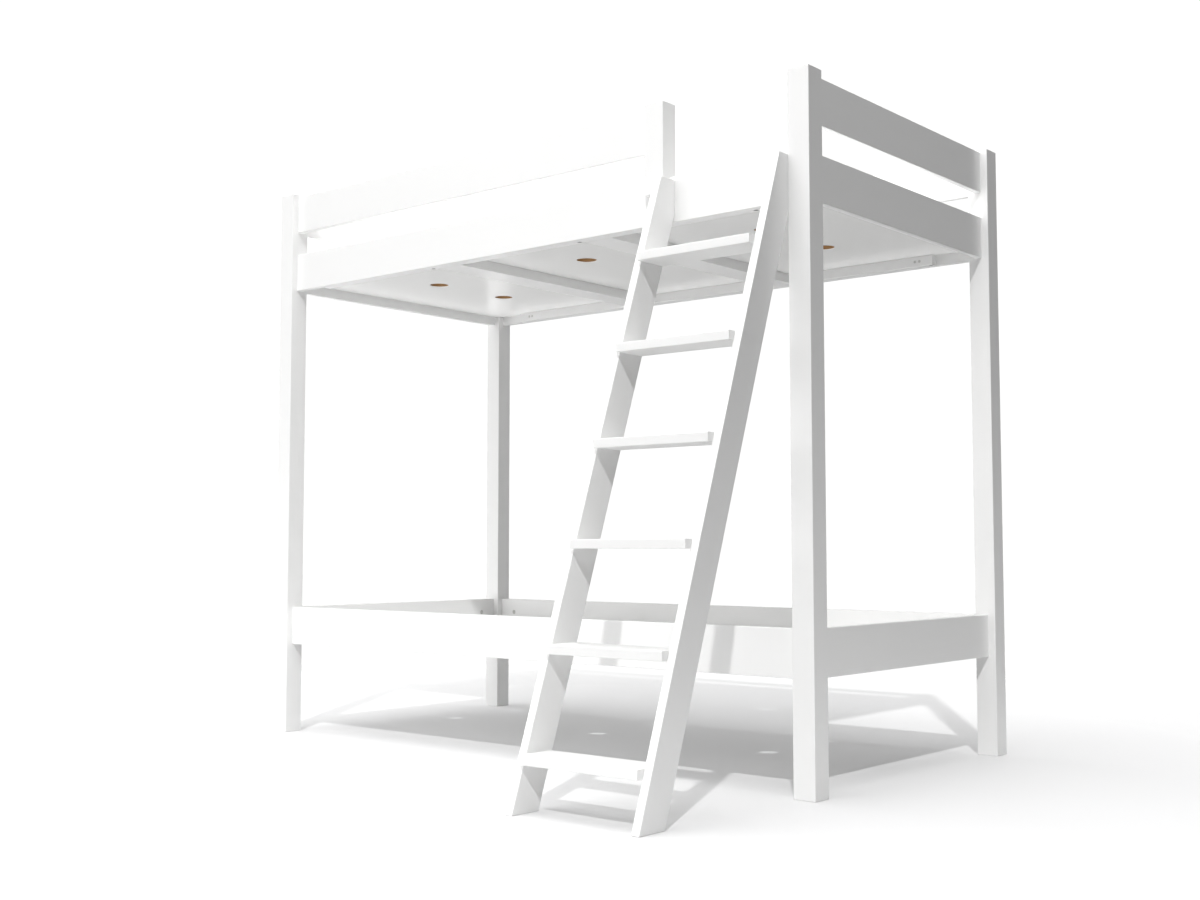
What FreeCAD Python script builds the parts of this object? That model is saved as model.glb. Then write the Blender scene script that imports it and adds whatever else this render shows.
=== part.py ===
import FreeCAD, Part
import Sketcher
import os
import re

# Bunk bed with a fixed slanted ladder, white lacquered pine, for two 1900 x 900 mattresses.
# Millimetres, +Z up. The origin is on the floor, under the middle of the whole object's box.
# +X runs along the bed from the plain end to the ladder end, +Y runs from the ladder side to the rear.

# Driving sizes: alias, value, meaning. Every size below is a formula of these.
SIZES = [
    ("bed_length", 2020, "over the posts, along X"),
    ("bed_width", 1020, "over the posts, along Y"),
    ("post_height", 1735, "floor to post top"),
    ("post_side", 60, "square section of every post"),
    ("board_height", 118, "rails and guards"),
    ("board_thick", 18, "rails and guards"),
    ("lower_rail_z", 277, "underside of the lower rails"),
    ("upper_rail_z", 1418, "underside of the upper rails"),
    ("guard_z", 1609, "underside of the guards"),
    ("edge_round", 1.5, "eased edges of posts and boards"),
    ("guard_post_depth", 53, "guard post, across the bed"),
    ("guard_post_lap", 42, "how far the guard post laps down over the front rail"),
    ("lap_gap", 0.3, "clearance of the guard post's slot on each face of the rail"),
    ("ledger_height", 30, "ledgers and cross-beams, flush with the rail's underside"),
    ("ledger_depth", 24, "ledger, across the bed"),
    ("ledger_inset", 176, "ledger's end from the bed's end"),
    ("beam_width", 92, "cross-beam, along X"),
    ("beam_pitch", 580, "cross-beam to cross-beam"),
    ("beam_shift", 11, "both cross-beams from their even places, towards the ladder end"),
    ("panel_thick", 18, "base panels"),
    ("panel_past_beam", 10, "end of the middle base panel, past half the cross-beams' pitch"),
    ("panel_gap", 5, "base panel edge to the rail's inner face"),
    ("panel_joint_gap", 2, "between two base panels"),
    ("post_notch_gap", 2, "base panel corner notch to the post"),
    ("vent_diameter", 60, "ventilation hole"),
    ("vent_pitch", 642, "ventilation hole to ventilation hole, along X"),
    ("vent_offset", 152, "ventilation hole from the middle of its pair, along Y"),
    ("vent_shift", 5, "middle of each pair from the bed's long centre line, towards the rear"),
    ("ladder_width", 378, "over the stiles, between guard post and corner post"),
    ("ladder_slope", 0.353, "run of the stile for each unit of rise"),
    ("stile_width", 82, "square to the stile's long edges"),
    ("stile_thick", 22, "along X"),
    ("stile_seat", 22, "lowest touch of the stile on the rail, above the rail's underside"),
    ("stile_drop", 9, "top of the stile below the top of the rail"),
    ("tread_first", 108, "underside of the lowest tread"),
    ("tread_pitch", 237.3, "tread to tread"),
    ("tread_thick", 22, "tread"),
    ("tread_proud", 16, "tread nosing in front of the stile"),
    ("dowel_diameter", 8, "wooden dowel"),
    ("dowel_in_board", 30, "dowel depth in a board's end"),
    ("dowel_spread", 70, "between the two dowels of a board's end"),
    ("bore_margin", 1, "wood left between two crossing bores in a post"),
    ("bore_gap", 0.15, "radial clearance of every bore"),
    ("bore_end_gap", 1, "free length at each end of a blind bore"),
    ("stud_diameter", 7, "connector stud"),
    ("nut_diameter", 15, "round connector nut"),
    ("nut_reach", 63, "nut axis from the post's face"),
    ("nut_height", 71, "nut and stud axis above the board's underside"),
    ("nut_skin", 3.5, "wood left behind the nut"),
    ("screw_diameter", 4.5, "screw shank"),
    ("screw_head", 9, "countersunk head"),
    ("screw_head_height", 3, "countersunk head"),
    ("screw_tip_gap", 4, "wood left in front of a screw's tip"),
    ("pair_spread", 14, "between the two screws of a ledger fixing"),
    ("ledger_fix_end", 49, "ledger fixing from the ledger's end"),
    ("guard_post_screw_spread", 24, "between the two screws of the guard post"),
    ("nut_slot", 1.5, "screwdriver slot of a nut, its width"),
    ("nut_slot_depth", 2, "screwdriver slot of a nut"),
    ("cam_diameter", 13.5, "cam in the underside of a ledger"),
    ("cam_height", 12, "cam"),
    ("cam_recess", 1.5, "cam above the ledger's underside"),
    ("cam_stud_diameter", 6, "stud that a cam grips"),
    ("cam_stud_in_rail", 11, "depth of a cam's stud in the rail"),
    ("cam_end", 10, "outermost cam from the ledger's ladder end"),
    ("cam_pitch", 580, "cam to cam"),
    ("tread_dowel_in_stile", 14, "dowel depth in a stile"),
    ("tread_dowel_spread", 40, "between the two dowels of a tread's end"),
    ("long_screw_reach", 46, "screw depth in a stile or a beam's end grain"),
    ("ladder_screw_spread", 30, "between the two screws of a stile"),
]

TREADS = 6
CAMS = 3

# Places worked out from the driving sizes. A name used in another formula stands for its own formula.
FORMULAS = {
    "x_left": "-bed_length / 2",
    "x_right": "bed_length / 2",
    "ladder_reach": "ladder_slope * (upper_rail_z + stile_seat) - setback + stile_run",
    "stile_run": "stile_width * sqrt(1 + ladder_slope * ladder_slope)",
    "y_front": "(ladder_reach - bed_width) / 2",
    "y_rear": "y_front + bed_width",
    "y_middle": "y_front + bed_width / 2",
    "setback": "(post_side - board_thick) / 2",
    "inner_left": "x_left + setback + board_thick",
    "inner_right": "x_right - setback - board_thick",
    "inner_front": "y_front + setback + board_thick",
    "inner_rear": "y_rear - setback - board_thick",
    "span_x": "bed_length - 2 * post_side",
    "span_y": "bed_width - 2 * post_side",
    "ladder_x": "x_right - post_side - ladder_width",
    "guard_post_x": "ladder_x - post_side",
    "guard_post_z": "upper_rail_z + board_height - guard_post_lap",
    "rail_top": "upper_rail_z + board_height",
    "stile_top": "rail_top - stile_drop",
    "post_bore": "post_side / 2 - dowel_diameter / 2 - bore_margin",
    "middle_panel": "beam_pitch + 2 * panel_past_beam",
    "outer_panel": "x_right - setback - board_thick - panel_gap - panel_joint_gap - middle_panel / 2",
    "panel_width": "bed_width - 2 * (setback + board_thick + panel_gap)",
    "corner_notch": "post_side + post_notch_gap - setback - board_thick - panel_gap",
    "ledger_length": "bed_length - 2 * ledger_inset",
    "guard_notch": "guard_post_depth + post_notch_gap - setback - board_thick - panel_gap",
    "beam_length": "bed_width - 2 * (setback + board_thick + ledger_depth)",
    "tread_length": "ladder_width - 2 * stile_thick",
    "tread_depth": "stile_run + tread_proud",
    "tread_dowel_y": "y_front - ladder_reach + stile_run / 2 + ladder_slope * tread_thick / 2",
    "nut_length": "board_thick - nut_skin - bore_end_gap",
}

doc = FreeCAD.newDocument("BunkBed")
sheet = doc.addObject("Spreadsheet::Sheet", "Sizes")
for row, (alias, value, meaning) in enumerate(SIZES, start=1):
    sheet.set(f"A{row}", meaning)
    sheet.set(f"B{row}", str(value))
    sheet.setAlias(f"B{row}", alias)
doc.recompute()
ALIASES = {alias for alias, value, meaning in SIZES}
NODES = []


def formula(text):
    """Write out a formula so that it names only cells of the sheet."""
    def written_out(match):
        word = match.group(0)
        if word in FORMULAS:
            return f"({formula(FORMULAS[word])})"
        return f"Sizes.{word}" if word in ALIASES else word
    return re.sub(r"[a-z][a-z_]*", written_out, str(text))


def bind(obj, **bindings):
    """Bind properties to formulas; a double underscore in a name stands for a dot."""
    for path, text in bindings.items():
        obj.setExpression(path.replace("__", "."), formula(text))


def place(obj, x, y, z):
    bind(obj, Placement__Base__x=x, Placement__Base__y=y, Placement__Base__z=z)


def keep(obj, name):
    """Make this object one of the bed's pieces."""
    obj.Label = name
    NODES.append(obj)
    return obj


AXES = {
    "x": FreeCAD.Rotation(FreeCAD.Vector(0, 1, 0), 90),
    "y": FreeCAD.Rotation(FreeCAD.Vector(1, 0, 0), -90),
    "z": FreeCAD.Rotation(),
}


def rod(axis, x, y, z, diameter, length):
    """A cylinder that starts at a point and runs towards +X, +Y or +Z."""
    shape = doc.addObject("Part::Cylinder", "Rod")
    shape.Placement.Rotation = AXES[axis]
    bind(shape, Radius=f"({diameter}) / 2", Height=length)
    place(shape, x, y, z)
    return shape


def cone(axis, x, y, z, start, end, length):
    shape = doc.addObject("Part::Cone", "Cone")
    shape.Placement.Rotation = AXES[axis]
    bind(shape, Radius1=f"({start}) / 2", Radius2=f"({end}) / 2", Height=length)
    place(shape, x, y, z)
    return shape


def compound(shapes, name="Group"):
    group = doc.addObject("Part::Compound", name)
    group.Links = shapes
    return group


def fused(shapes):
    union = doc.addObject("Part::MultiFuse", "Fused")
    union.Shapes = shapes
    return union


def bored(base, tools, name):
    """The base with the tools cut away, kept as one of the bed's pieces."""
    if not tools:
        return keep(base, name)
    cut = doc.addObject("Part::Cut", "Bored")
    cut.Base = base
    cut.Tool = compound(tools, "Bores")
    return keep(cut, name)


PLANES = {"x": "YZ_Plane", "y": "XZ_Plane", "z": "XY_Plane"}


def sketch_on(body, plane, points):
    """A closed outline on an origin plane; each corner is held by two formulas."""
    sketch = body.newObject("Sketcher::SketchObject", "Outline")
    origin = next(feature for feature in body.Origin.OriginFeatures if feature.Role == plane)
    sketch.AttachmentSupport = [(origin, "")]
    sketch.MapMode = "FlatFace"
    rough = [FreeCAD.Vector(i, i * i, 0) for i in range(1, len(points) + 1)]
    for i, start in enumerate(rough):
        sketch.addGeometry(Part.LineSegment(start, rough[(i + 1) % len(rough)]))
    for i in range(len(points)):
        sketch.addConstraint(Sketcher.Constraint("Coincident", i, 2, (i + 1) % len(points), 1))
    for i, (across, up) in enumerate(points):
        for kind, side, text in (("DistanceX", "across", across), ("DistanceY", "up", up)):
            number = sketch.addConstraint(Sketcher.Constraint(kind, i, 1, i + 1.0))
            sketch.renameConstraint(number, f"{side}_{i + 1}")
            sketch.setExpression(f"Constraints.{side}_{i + 1}", formula(text))
    return sketch


def pad(body, sketch, axis, length):
    """Pad towards the positive axis; the XZ plane's own normal points to -Y."""
    solid = body.newObject("PartDesign::Pad", "Pad")
    solid.Profile = sketch
    solid.Reversed = axis == "y"
    bind(solid, Length=length)
    return solid


def prism(axis, x, y, z, points, length, eased=None):
    """A straight piece: an outline square to an axis, padded along it, eased and placed.

    eased is the direction of the edges to round, the piece's length unless given, or "all".
    """
    body = doc.addObject("PartDesign::Body", "Body")
    solid = pad(body, sketch_on(body, PLANES[axis], points), axis, length)
    doc.recompute()
    ease_edges(body, solid, eased or AXES[axis].multVec(FreeCAD.Vector(0, 0, 1)))
    place(body, x, y, z)
    return body


def ease_edges(body, solid, direction):
    """Round the straight edges that run along a direction, or all of them."""
    names = []
    for i, edge in enumerate(solid.Shape.Edges, start=1):
        if direction == "all" or abs(edge.tangentAt(edge.FirstParameter).dot(direction)) > 1 - 1e-6:
            names.append(f"Edge{i}")
    rounds = body.newObject("PartDesign::Fillet", "Rounds")
    rounds.Base = (solid, names)
    bind(rounds, Radius="edge_round")


def rectangle(width, height):
    return [(0, 0), (width, 0), (width, height), (0, height)]


# Pieces by name, and the bores that each one gets before it is finished.
pieces = {}
bores = {}
fasteners = {}


def add_piece(name, base):
    pieces[name] = base
    bores[name] = []


def bore(names, tool):
    """Cut one tool from several pieces."""
    for name in names:
        bores[name].append(tool)


def fasten(group, *shapes):
    fasteners.setdefault(group, []).extend(shapes)


def along(axis, position, across, z):
    """A point given along a horizontal axis and across it."""
    return (position, across, z) if axis == "x" else (across, position, z)


def screw(group, names, axis, sign, head, across, z, reach):
    """A countersunk screw whose head lies flush at one place, and its bore through some pieces."""
    for wider, deeper, solids in (("0", "0", True), ("2 * bore_gap", "bore_end_gap", False)):
        shank = f"screw_diameter + {wider}"
        crown = f"screw_head + {wider}"
        length = f"({reach}) + {deeper} - screw_head_height"
        if sign > 0:
            cap = cone(axis, *along(axis, head, across, z), crown, shank, "screw_head_height")
            stem = rod(axis, *along(axis, f"({head}) + screw_head_height", across, z), shank, length)
        else:
            cap = cone(axis, *along(axis, f"({head}) - screw_head_height", across, z),
                       shank, crown, "screw_head_height")
            stem = rod(axis, *along(axis, f"({head}) - ({reach}) - {deeper}", across, z), shank, length)
        if solids:
            fasten(group, cap, stem)
        else:
            bore(names, cap)
            bore(names, stem)


def dowel(group, names, axis, start, across, z, length):
    """A dowel between two blind bores; start and length are those of the bores."""
    fit = "dowel_diameter + 2 * bore_gap"
    bore(names, rod(axis, *along(axis, start, across, z), fit, length))
    fasten(group, rod(axis, *along(axis, f"({start}) + bore_end_gap", across, z),
                      "dowel_diameter", f"({length}) - 2 * bore_end_gap"))


def board_joint(board, post, axis, side, face, inside, inner_face, z):
    """Two dowels, a stud and a round nut between a board's end and a post's face.

    side is +1 where the board runs from the face towards + and -1 where it runs towards -.
    inside is +1 where the bed's inside lies on the + side of the board, where the nut goes in.
    """
    middle = f"({inner_face}) - ({inside}) * board_thick / 2"
    bore_length = "post_bore + dowel_in_board"
    start = f"({face}) - post_bore" if side > 0 else f"({face}) - dowel_in_board"
    for end in (-1, 1):
        height = f"({z}) + board_height / 2 + {end} * dowel_spread / 2"
        dowel("board_dowels", (board, post), axis, start, middle, height, bore_length)

    level = f"({z}) + nut_height"
    stud_reach = "nut_reach + nut_diameter / 2"
    stud_start = f"({face}) - post_bore" if side > 0 else f"({face}) - ({stud_reach})"
    stud_length = f"post_bore + {stud_reach}"
    passage = rod(axis, *along(axis, stud_start, middle, level),
                  "stud_diameter + 2 * bore_gap", stud_length)
    bore((board, post), passage)
    fasten("connector_studs", rod(axis, *along(axis, f"({stud_start}) + bore_end_gap", middle, level),
                                  "stud_diameter", f"{stud_length} - 2 * bore_end_gap"))

    nut_axis = "y" if axis == "x" else "x"
    nut_at = f"({face}) + ({side}) * nut_reach"
    nut_start = inner_face if inside < 0 else f"({inner_face}) - nut_length"
    pocket_start = inner_face if inside < 0 else f"({inner_face}) - nut_length - bore_end_gap"
    bore((board,), rod(nut_axis, *along(axis, nut_at, pocket_start, level),
                       "nut_diameter + 2 * bore_gap", "nut_length + bore_end_gap"))
    fasten("connector_nuts", rod(nut_axis, *along(axis, nut_at, nut_start, level),
                                 "nut_diameter", "nut_length"))
    slot_start = inner_face if inside < 0 else f"({inner_face}) - nut_slot_depth"
    size = along(axis, "nut_slot", "nut_slot_depth", "nut_diameter * 2")
    slot = doc.addObject("Part::Box", "Slot")
    bind(slot, Length=size[0], Width=size[1], Height=size[2])
    place(slot, *along(axis, f"{nut_at} - nut_slot / 2", slot_start, f"{level} - nut_diameter"))
    nut_cuts.extend((passage, slot))


nut_cuts = []

# Posts.
POSTS = {
    "post_front_left": ("x_left", "y_front"),
    "post_front_right": ("x_right - post_side", "y_front"),
    "post_rear_left": ("x_left", "y_rear - post_side"),
    "post_rear_right": ("x_right - post_side", "y_rear - post_side"),
}
for name, (x, y) in POSTS.items():
    add_piece(name, prism("z", x, y, 0, rectangle("post_side", "post_side"), "post_height", "all"))

# The guard post straddles the front rail with a slot in its foot.
slot_front = "setback - lap_gap"
slot_rear = "setback + board_thick + lap_gap"
guard_post_top = "post_height - guard_post_z"
add_piece("guard_post", prism(
    "x", "guard_post_x", "y_front", "guard_post_z",
    [(0, 0), (slot_front, 0), (slot_front, "guard_post_lap"), (slot_rear, "guard_post_lap"),
     (slot_rear, 0), ("guard_post_depth", 0), ("guard_post_depth", guard_post_top), (0, guard_post_top)],
    "post_side", "all"))

# Rails and guards. The front upper guard ends at the guard post, every other board at a corner post.
BOARD_SECTION = rectangle("board_thick", "board_height")
LEVELS = {"lower_rail": "lower_rail_z", "upper_rail": "upper_rail_z", "guard": "guard_z"}
for level, z in LEVELS.items():
    for side, y, inside, inner_face in (("front", "y_front + setback", 1, "inner_front"),
                                        ("rear", "inner_rear", -1, "inner_rear")):
        board = f"{level}_{side}"
        short = board == "guard_front"
        right_face = "guard_post_x" if short else "x_right - post_side"
        right_post = "guard_post" if short else f"post_{side}_right"
        left_face = "x_left + post_side"
        add_piece(board, prism("x", left_face, y, z, BOARD_SECTION, f"{right_face} - ({left_face})"))
        board_joint(board, f"post_{side}_left", "x", 1, left_face, inside, inner_face, z)
        board_joint(board, right_post, "x", -1, right_face, inside, inner_face, z)
    for side, x, inside, inner_face in (("left", "x_left + setback", 1, "inner_left"),
                                        ("right", "inner_right", -1, "inner_right")):
        board = f"{level}_{side}"
        add_piece(board, prism("y", x, "y_front + post_side", z, BOARD_SECTION, "span_y"))
        board_joint(board, f"post_front_{side}", "y", 1, "y_front + post_side", inside, inner_face, z)
        board_joint(board, f"post_rear_{side}", "y", -1, "y_rear - post_side", inside, inner_face, z)

# Two screws through the guard post's rear cheek, the rail and into its front cheek.
for end in (-1, 1):
    screw("guard_post_screws", ("guard_post", "upper_rail_front"), "y", -1, "y_front + guard_post_depth",
          f"guard_post_x + post_side / 2 + {end} * guard_post_screw_spread / 2",
          "guard_post_z + guard_post_lap / 2", "guard_post_depth - setback / 2")


def base(bunk):
    """Ledgers, cross-beams and the three panels that lie loose on them."""
    z = LEVELS[f"{bunk}_rail"]
    level = f"{z} + ledger_height / 2"
    ledger_section = rectangle("ledger_depth", "ledger_height")
    for side, y, sign, rail_face, open_face in (
            ("front", "inner_front", -1, "inner_front", "inner_front + ledger_depth"),
            ("rear", "inner_rear - ledger_depth", 1, "inner_rear", "inner_rear - ledger_depth")):
        ledger, rail = f"{bunk}_ledger_{side}", f"{bunk}_rail_{side}"
        add_piece(ledger, prism("x", "-ledger_length / 2", y, z, ledger_section, "ledger_length"))
        for station in (-1, 1):
            for end in (-1, 1):
                x = f"{station} * (ledger_length / 2 - ledger_fix_end) + {end} * pair_spread / 2"
                screw("ledger_screws", (ledger, rail), "y", sign, open_face, x, level,
                      "ledger_depth + board_thick - screw_tip_gap")
        for number in range(CAMS):
            cam(ledger, rail, f"ledger_length / 2 - cam_end - {number} * cam_pitch", sign, rail_face, z)
    for side, end in (("left", -1), ("right", 1)):
        beam = f"{bunk}_beam_{side}"
        middle = f"{end} * beam_pitch / 2 + beam_shift"
        add_piece(beam, prism("y", f"{middle} - beam_width / 2",
                              "inner_front + ledger_depth", z,
                              rectangle("beam_width", "ledger_height"), "beam_length"))
        for ledger_side, sign, rail_face in (("front", 1, "inner_front"), ("rear", -1, "inner_rear")):
            for across in (-1, 1):
                screw("beam_screws", (f"{bunk}_ledger_{ledger_side}", beam), "y", sign, rail_face,
                      f"{middle} + {across} * beam_width / 4", level,
                      "ledger_depth + long_screw_reach")
    panel(bunk, "left", "inner_left + panel_gap", "outer_panel", "-vent_pitch")
    panel(bunk, "middle", "-middle_panel / 2", "middle_panel", "0")
    panel(bunk, "right", "middle_panel / 2 + panel_joint_gap", "outer_panel", "vent_pitch")


def cam(ledger, rail, x, sign, rail_face, z):
    """A cam in a ledger's underside, on a stud that stands in the rail."""
    middle = f"({rail_face}) - ({sign}) * ledger_depth / 2"
    bore((ledger,), rod("z", x, middle, z, "cam_diameter + 2 * bore_gap", "cam_recess + cam_height"))
    fasten("ledger_cams", rod("z", x, middle, f"{z} + cam_recess", "cam_diameter", "cam_height"))
    level = f"{z} + cam_recess + cam_height / 2"
    length = "ledger_depth / 2 + cam_stud_in_rail"
    start = middle if sign > 0 else f"{rail_face} - cam_stud_in_rail"
    passage = rod("y", x, start, level, "cam_stud_diameter + 2 * bore_gap", length)
    bore((ledger, rail), passage)
    cam_cuts.append(passage)
    fasten("cam_studs", rod("y", x, f"{start} + bore_end_gap", level, "cam_stud_diameter",
                            f"{length} - 2 * bore_end_gap"))


def panel(bunk, side, x, length, vent_x):
    """A base panel with two ventilation holes, notched round the posts that it meets."""
    z = f"{LEVELS[f'{bunk}_rail']} + ledger_height"
    front = [(0, 0), (length, 0)]
    rear = [(length, "panel_width"), (0, "panel_width")]
    if side == "left":
        front[0:1] = notch("0", "0", 1, 1)
        rear[1:2] = reversed(notch("0", "panel_width", 1, -1))
    if side == "right":
        front[1:2] = reversed(notch(length, "0", -1, 1))
        rear[0:1] = notch(length, "panel_width", -1, -1)
    if (bunk, side) == ("upper", "right"):
        start = f"guard_post_x - post_notch_gap - ({x})"
        end = f"guard_post_x + post_side + post_notch_gap - ({x})"
        front[1:1] = [(start, 0), (start, "guard_notch"), (end, "guard_notch"), (end, 0)]
    name = f"{bunk}_panel_{side}"
    add_piece(name, prism("z", x, "inner_front + panel_gap", z, front + rear, "panel_thick", "all"))
    for end in (-1, 1):
        vent(name, vent_x, f"y_middle + vent_shift + {end} * vent_offset", z)


def vent(panel_name, x, y, z):
    """A ventilation hole with a small chamfer at both faces."""
    wide = "vent_diameter + 2 * edge_round"
    upper_chamfer = f"{z} + panel_thick - edge_round"
    bore((panel_name,), rod("z", x, y, z, "vent_diameter", "panel_thick"))
    bore((panel_name,), cone("z", x, y, z, wide, "vent_diameter", "edge_round"))
    bore((panel_name,), cone("z", x, y, upper_chamfer, "vent_diameter", wide, "edge_round"))


def notch(x, y, right, up):
    """The three corners of a square notch, from the edge along Y round to the edge along X."""
    across = f"{x} + ({right}) * corner_notch"
    over = f"{y} + ({up}) * corner_notch"
    return [(x, over), (across, over), (across, y)]


cam_cuts = []
for bunk in ("lower", "upper"):
    base(bunk)

# Ladder: stiles with a level foot and an upright cut that bears on the front rail's face.
stile_outline = [
    ("-ladder_reach", 0),
    ("stile_run - ladder_reach", 0),
    ("setback", "upper_rail_z + stile_seat"),
    ("setback", "stile_top"),
    ("ladder_slope * stile_top - ladder_reach", "stile_top"),
]
screw_level = "(upper_rail_z + stile_seat + stile_top) / 2"
for side, x in (("left", "ladder_x"), ("right", "ladder_x + ladder_width - stile_thick")):
    stile = f"ladder_stile_{side}"
    add_piece(stile, prism("x", x, "y_front", 0, stile_outline, "stile_thick", "all"))
    for end in (-1, 1):
        screw("ladder_screws", ("upper_rail_front", stile), "y", -1, "inner_front",
              f"{x} + stile_thick / 2", f"{screw_level} + {end} * ladder_screw_spread / 2",
              "board_thick + long_screw_reach")

# Treads between the stiles, each on two dowels at either end.
for i in range(TREADS):
    tread = f"ladder_tread_{i + 1}"
    z = f"tread_first + {i} * tread_pitch"
    add_piece(tread, prism(
        "x", "ladder_x + stile_thick", f"y_front - ladder_reach + ladder_slope * ({z}) - tread_proud",
        z, rectangle("tread_depth", "tread_thick"), "tread_length"))
    for stile, start in (
            ("ladder_stile_left", "ladder_x + stile_thick - tread_dowel_in_stile"),
            ("ladder_stile_right", "ladder_x + ladder_width - stile_thick - dowel_in_board")):
        for end in (-1, 1):
            dowel("tread_dowels", (stile, tread), "x", start,
                  f"tread_dowel_y + ladder_slope * ({z}) + {end} * tread_dowel_spread / 2",
                  f"{z} + tread_thick / 2", "tread_dowel_in_stile + dowel_in_board")

for name, base_shape in pieces.items():
    bored(base_shape, bores[name], name)
for name, shapes in fasteners.items():
    if name == "connector_nuts":
        bored(compound(shapes), nut_cuts, name)
    elif name == "ledger_cams":
        bored(compound(shapes), cam_cuts, name)
    elif name.endswith("screws"):
        keep(fused(shapes), name)
    else:
        keep(compound(shapes), name)
doc.recompute()

for obj in doc.Objects:
    if "Invalid" in obj.State or "Error" in obj.State:
        raise RuntimeError(f"{obj.Name} ({obj.Label}) failed: {obj.State}")
for node in NODES:
    if node.Shape.isNull() or not node.Shape.isValid():
        raise RuntimeError(f"{node.Label} has no valid shape")

os.makedirs("parts", exist_ok=True)
for node in NODES:
    node.Shape.exportStep(f"parts/{node.Label}.step")
print(len(NODES), "pieces,", sum(len(node.Shape.Solids) for node in NODES), "solids")
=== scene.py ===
import math

import bpy
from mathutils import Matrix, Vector


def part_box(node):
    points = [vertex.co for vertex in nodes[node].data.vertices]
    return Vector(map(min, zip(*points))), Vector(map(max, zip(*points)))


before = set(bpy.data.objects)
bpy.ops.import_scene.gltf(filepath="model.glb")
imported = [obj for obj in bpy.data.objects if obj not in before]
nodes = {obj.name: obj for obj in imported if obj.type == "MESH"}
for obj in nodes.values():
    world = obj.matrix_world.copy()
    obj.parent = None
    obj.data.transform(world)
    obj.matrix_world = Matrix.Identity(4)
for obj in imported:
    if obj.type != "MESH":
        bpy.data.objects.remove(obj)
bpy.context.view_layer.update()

# White lacquered bunk bed on a white studio floor. Metres, in the CAD model's frame.
scene = bpy.context.scene


class Graph:
    """Short calls for a material's nodes; a value is a number, a colour or another node's output."""

    def __init__(self, name):
        self.material = bpy.data.materials.new(name)
        self.material.use_nodes = True
        self.tree = self.material.node_tree
        self.tree.nodes.clear()

    def node(self, kind, inputs=None, output=0, **settings):
        made = self.tree.nodes.new(kind)
        for setting, value in settings.items():
            setattr(made, setting, value)
        for socket, value in (inputs or {}).items():
            if isinstance(value, bpy.types.NodeSocket):
                self.tree.links.new(value, made.inputs[socket])
            else:
                made.inputs[socket].default_value = value
        return made.outputs[output] if made.outputs else made

    def math(self, operation, *values):
        return self.node("ShaderNodeMath", dict(enumerate(values)), operation=operation)

    def vector(self, operation, *values):
        output = 1 if operation in ("LENGTH", "DISTANCE", "DOT_PRODUCT") else 0
        return self.node("ShaderNodeVectorMath", dict(enumerate(values)), output, operation=operation)

    def blend(self, share, low, high):
        """A colour between two, by a share from 0 to 1."""
        return self.node("ShaderNodeMix", {0: share, 6: low, 7: high}, 2, data_type="RGBA")

    def spread(self, value, from_low, from_high, to_low, to_high):
        return self.node("ShaderNodeMapRange",
                         {0: value, 1: from_low, 2: from_high, 3: to_low, 4: to_high})

    def noise(self, place, scale, detail=2.0, roughness=0.5):
        return self.node("ShaderNodeTexNoise", {"Vector": place, "Scale": scale, "Detail": detail,
                                                "Roughness": roughness})

    def bump(self, height, strength, distance, under=None):
        inputs = {"Height": height, "Strength": strength, "Distance": distance}
        if under is not None:
            inputs["Normal"] = under
        return self.node("ShaderNodeBump", inputs)

    def place(self):
        return self.node("ShaderNodeTexCoord", output=3)

    def finish(self, **sockets):
        names = {"color": "Base Color", "roughness": "Roughness", "metallic": "Metallic", "normal": "Normal",
                 "coat": "Coat Weight", "coat_roughness": "Coat Roughness", "ior": "IOR"}
        shader = self.node("ShaderNodeBsdfPrincipled", {names[k]: v for k, v in sockets.items()})
        self.node("ShaderNodeOutputMaterial", {"Surface": shader})
        return self.material


def rgb(r, g, b):
    return (r, g, b, 1.0)


LACQUER = rgb(0.86, 0.86, 0.855)
LACQUER_WARM = rgb(0.835, 0.83, 0.815)
LADDER_RUN = 0.353
VENT_X = {"left": -0.642, "middle": 0.0, "right": 0.642}
VENT_SHIFT = 0.005
VENT_OFFSET = 0.152
VENT_WALL = 0.03025
PLY_PITCH = 0.004
FLOOR_RADIUS = 7.0
FLOOR_CORNERS = 96
FADE_START, FADE_END = 2.0, 3.6


def lacquered_wood(name, direction):
    """White satin lacquer on solid wood: the long grain shows faintly through the film."""
    g = Graph(name)
    along = Vector(direction).normalized()
    rotation = along.to_track_quat("X", "Z").inverted().to_euler()
    turned = g.node("ShaderNodeMapping", {"Vector": g.place(), "Rotation": tuple(rotation)})
    squeezed = g.vector("MULTIPLY", turned, (1.2, 22.0, 22.0))
    fibres = g.vector("MULTIPLY", turned, (14.0, 900.0, 900.0))
    waves = g.noise(squeezed, 1.0, 3.0, 0.55)
    rings = g.node("ShaderNodeMath", {0: g.math("MULTIPLY", waves, 34.0)}, operation="SINE")
    growth = g.spread(rings, -1.0, 1.0, 0.0, 1.0)
    pores = g.noise(fibres, 1.0, 2.0)
    peel = g.noise(g.place(), 420.0, 1.0)
    color = g.blend(g.math("MULTIPLY", growth, 0.06), LACQUER, LACQUER_WARM)
    roughness = g.spread(g.math("ADD", g.math("MULTIPLY", growth, 0.5), g.math("MULTIPLY", pores, 0.5)),
                         0.2, 0.8, 0.30, 0.34)
    normal = g.bump(peel, 0.05, 0.0004)
    normal = g.bump(pores, 0.03, 0.0002, normal)
    normal = g.bump(growth, 0.015, 0.0002, normal)
    return g.finish(color=color, roughness=roughness, normal=normal, ior=1.5)


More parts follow.
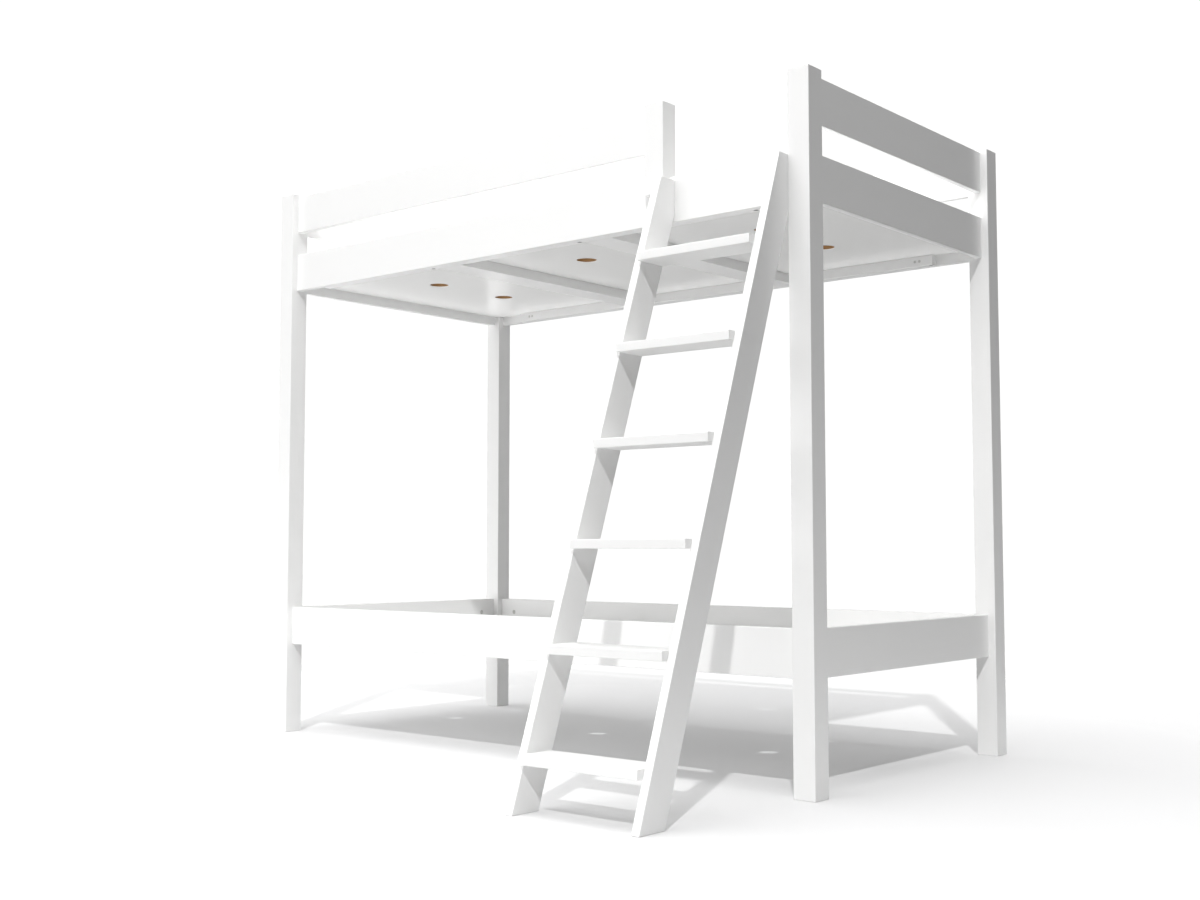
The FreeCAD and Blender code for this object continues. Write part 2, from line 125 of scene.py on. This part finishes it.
def lacquered_panel(name, centre_x, centre_y, offset):
    """White satin lacquer on plywood, with the bare layers showing inside the ventilation holes."""
    g = Graph(name)
    place = g.place()
    xyz = g.node("ShaderNodeSeparateXYZ", {0: place})
    x, y, z = xyz.node.outputs
    across = g.math("SUBTRACT", x, centre_x)
    out = g.math("SUBTRACT", g.math("ABSOLUTE", g.math("SUBTRACT", y, centre_y)), offset)
    radius = g.math("SQRT", g.math("ADD", g.math("MULTIPLY", across, across), g.math("MULTIPLY", out, out)))
    inside = g.math("LESS_THAN", radius, VENT_WALL)
    layer = g.math("FRACT", g.math("MULTIPLY", z, 1 / PLY_PITCH))
    layers = g.spread(g.math("ABSOLUTE", g.math("SUBTRACT", layer, 0.5)), 0.2, 0.3, 0.0, 1.0)
    fibre = g.noise(g.vector("MULTIPLY", place, (60.0, 60.0, 900.0)), 1.0, 3.0)
    raw = g.blend(layers, rgb(0.30, 0.155, 0.045), rgb(0.12, 0.052, 0.014))
    raw = g.blend(g.math("MULTIPLY", fibre, 0.4), raw, rgb(0.07, 0.03, 0.01))
    peel = g.noise(place, 420.0, 1.0)
    cloud = g.noise(place, 7.0, 2.0)
    film = g.blend(g.math("MULTIPLY", cloud, 0.3), LACQUER, LACQUER_WARM)
    color = g.blend(inside, film, raw)
    roughness = g.spread(inside, 0.0, 1.0, 0.27, 0.75)
    normal = g.bump(peel, 0.05, 0.0004)
    normal = g.bump(g.math("MULTIPLY", fibre, inside), 0.4, 0.0006, normal)
    return g.finish(color=color, roughness=roughness, normal=normal, ior=1.5)


def beech(name):
    g = Graph(name)
    fibre = g.noise(g.vector("MULTIPLY", g.place(), (300.0, 300.0, 300.0)), 1.0, 3.0)
    color = g.blend(fibre, rgb(0.62, 0.40, 0.22), rgb(0.44, 0.26, 0.13))
    return g.finish(color=color, roughness=0.6, normal=g.bump(fibre, 0.3, 0.0003))


def zinc(name, color, roughness, metallic=1.0):
    g = Graph(name)
    cloud = g.noise(g.place(), 260.0, 3.0)
    tint = g.blend(cloud, color, tuple(c * 0.72 for c in color[:3]) + (1.0,))
    return g.finish(color=tint, metallic=metallic, normal=g.bump(cloud, 0.12, 0.0002),
                    roughness=g.spread(cloud, 0.3, 0.7, roughness, roughness + 0.14))


middle_y = sum((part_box("upper_panel_middle")[i].y for i in (0, 1))) / 2
finishes = {
    "along_x": lacquered_wood("lacquer_along_x", (1, 0, 0)),
    "along_y": lacquered_wood("lacquer_along_y", (0, 1, 0)),
    "upright": lacquered_wood("lacquer_upright", (0, 0, 1)),
    "slanted": lacquered_wood("lacquer_slanted", (0, LADDER_RUN, 1)),
    "dowel": beech("raw_beech"),
    "zinc": zinc("zinc_steel", rgb(0.74, 0.74, 0.72), 0.34),
    "cam": zinc("dark_cam", rgb(0.035, 0.032, 0.03), 0.5, 0.4),
}
for side in ("left", "middle", "right"):
    finishes[side] = lacquered_panel(f"lacquered_panel_{side}", VENT_X[side],
                                     middle_y + VENT_SHIFT, VENT_OFFSET)


def finish_of(name):
    if "_panel_" in name:
        return finishes[name.rsplit("_", 1)[1]]
    if name.endswith("dowels"):
        return finishes["dowel"]
    if name == "ledger_cams":
        return finishes["cam"]
    if name.endswith(("screws", "studs", "nuts")):
        return finishes["zinc"]
    if "stile" in name:
        return finishes["slanted"]
    if "post" in name:
        return finishes["upright"]
    if "_beam_" in name or name in [f"{level}_{side}" for level in ("guard", "upper_rail", "lower_rail")
                                    for side in ("left", "right")]:
        return finishes["along_y"]
    return finishes["along_x"]


for name, node in nodes.items():
    node.data.materials.clear()
    node.data.materials.append(finish_of(name))

# Camera: low, at the ladder end, looking slightly up across the bed.
camera = bpy.data.objects.new("camera", bpy.data.cameras.new("camera"))
scene.collection.objects.link(camera)
camera.data.sensor_width = 36.0
camera.data.lens = 43.179
camera.location = (2.80223, -3.10404, 0.58608)
camera.rotation_euler = (math.pi / 2 + 0.0674, 0.0, 0.7031)
scene.camera = camera

# White floor, partly luminous: a painted glow keeps its shadows light and lights the bed from below.
# It fades out with distance, so that no horizon shows against the white world.
floor_mesh = bpy.data.meshes.new("floor")
corners = [(FLOOR_RADIUS * math.cos(i * math.tau / FLOOR_CORNERS),
            FLOOR_RADIUS * math.sin(i * math.tau / FLOOR_CORNERS), -0.0005) for i in range(FLOOR_CORNERS)]
floor_mesh.from_pydata(corners, [], [tuple(range(FLOOR_CORNERS))])
floor = bpy.data.objects.new("floor", floor_mesh)
scene.collection.objects.link(floor)
g = Graph("floor")
matte = g.node("ShaderNodeBsdfDiffuse", {"Color": rgb(0.6, 0.6, 0.602)})
# Painted light: the floor emits light of its own, which lifts its shadows and brightens the undersides above
# it.
glow = g.node("ShaderNodeEmission", {"Color": rgb(1, 1, 1), "Strength": 0.15})
lit = g.node("ShaderNodeAddShader", {0: matte, 1: glow})
clear = g.node("ShaderNodeBsdfTransparent")
fade = g.spread(g.vector("LENGTH", g.place()), FADE_START, FADE_END, 0.0, 1.0)
g.node("ShaderNodeOutputMaterial", {"Surface": g.node("ShaderNodeMixShader", {0: fade, 1: lit, 2: clear})})
floor_mesh.materials.append(g.material)


def area_light(name, location, target, size, power):
    light = bpy.data.objects.new(name, bpy.data.lights.new(name, "AREA"))
    light.data.shape = "RECTANGLE"
    light.data.size, light.data.size_y = size
    light.data.energy = power
    light.location = location
    light.rotation_euler = (Vector(target) - Vector(location)).to_track_quat("-Z", "Y").to_euler()
    light.visible_camera = False
    scene.collection.objects.link(light)


sun = bpy.data.objects.new("sun", bpy.data.lights.new("sun", "SUN"))
sun.rotation_euler = Vector((-0.542, 0.798, -1.0)).to_track_quat("-Z", "Y").to_euler()
sun.data.energy = 1.8
sun.data.angle = math.radians(1.5)
scene.collection.objects.link(sun)
# Name, place, point aimed at, size and watts.
AREA_LIGHTS = [
    ("front_light", (-2.5, -7.0, 3.6), (0, 0, 0.8), (7.0, 5.0), 220),
    ("top_light", (-1.0, -1.0, 6.5), (0, 0, 0), (7.0, 7.0), 307),
    ("near_top_light", (0.5, -0.5, 5.0), (0, 0, 0), (4.0, 4.0), 127),
    ("left_light", (-6.0, 0.0, 6.0), (0, 0, 0.5), (5.0, 5.0), 104),
    ("rear_light", (0.0, 6.0, 6.0), (0, 0, 0.5), (6.0, 5.0), 180),
    ("left_bounce", (-2.6, 0.3, 0.1), (-0.4, 0.3, 1.45), (2.0, 2.0), 64),
]
for settings in AREA_LIGHTS:
    area_light(*settings)

world = bpy.data.worlds.new("studio")
scene.world = world
world.use_nodes = True
tree = world.node_tree
background = tree.nodes["Background"]
background.inputs["Color"].default_value = rgb(1, 1, 1)
background.inputs["Strength"].default_value = 0.0
white = tree.nodes.new("ShaderNodeBackground")
white.inputs["Color"].default_value = rgb(1, 1, 1)
white.inputs["Strength"].default_value = 1.05
path = tree.nodes.new("ShaderNodeLightPath")
mix = tree.nodes.new("ShaderNodeMixShader")
tree.links.new(path.outputs["Is Camera Ray"], mix.inputs[0])
tree.links.new(background.outputs[0], mix.inputs[1])
tree.links.new(white.outputs[0], mix.inputs[2])
tree.links.new(mix.outputs[0], tree.nodes["World Output"].inputs["Surface"])
scene.view_settings.view_transform = "Standard"
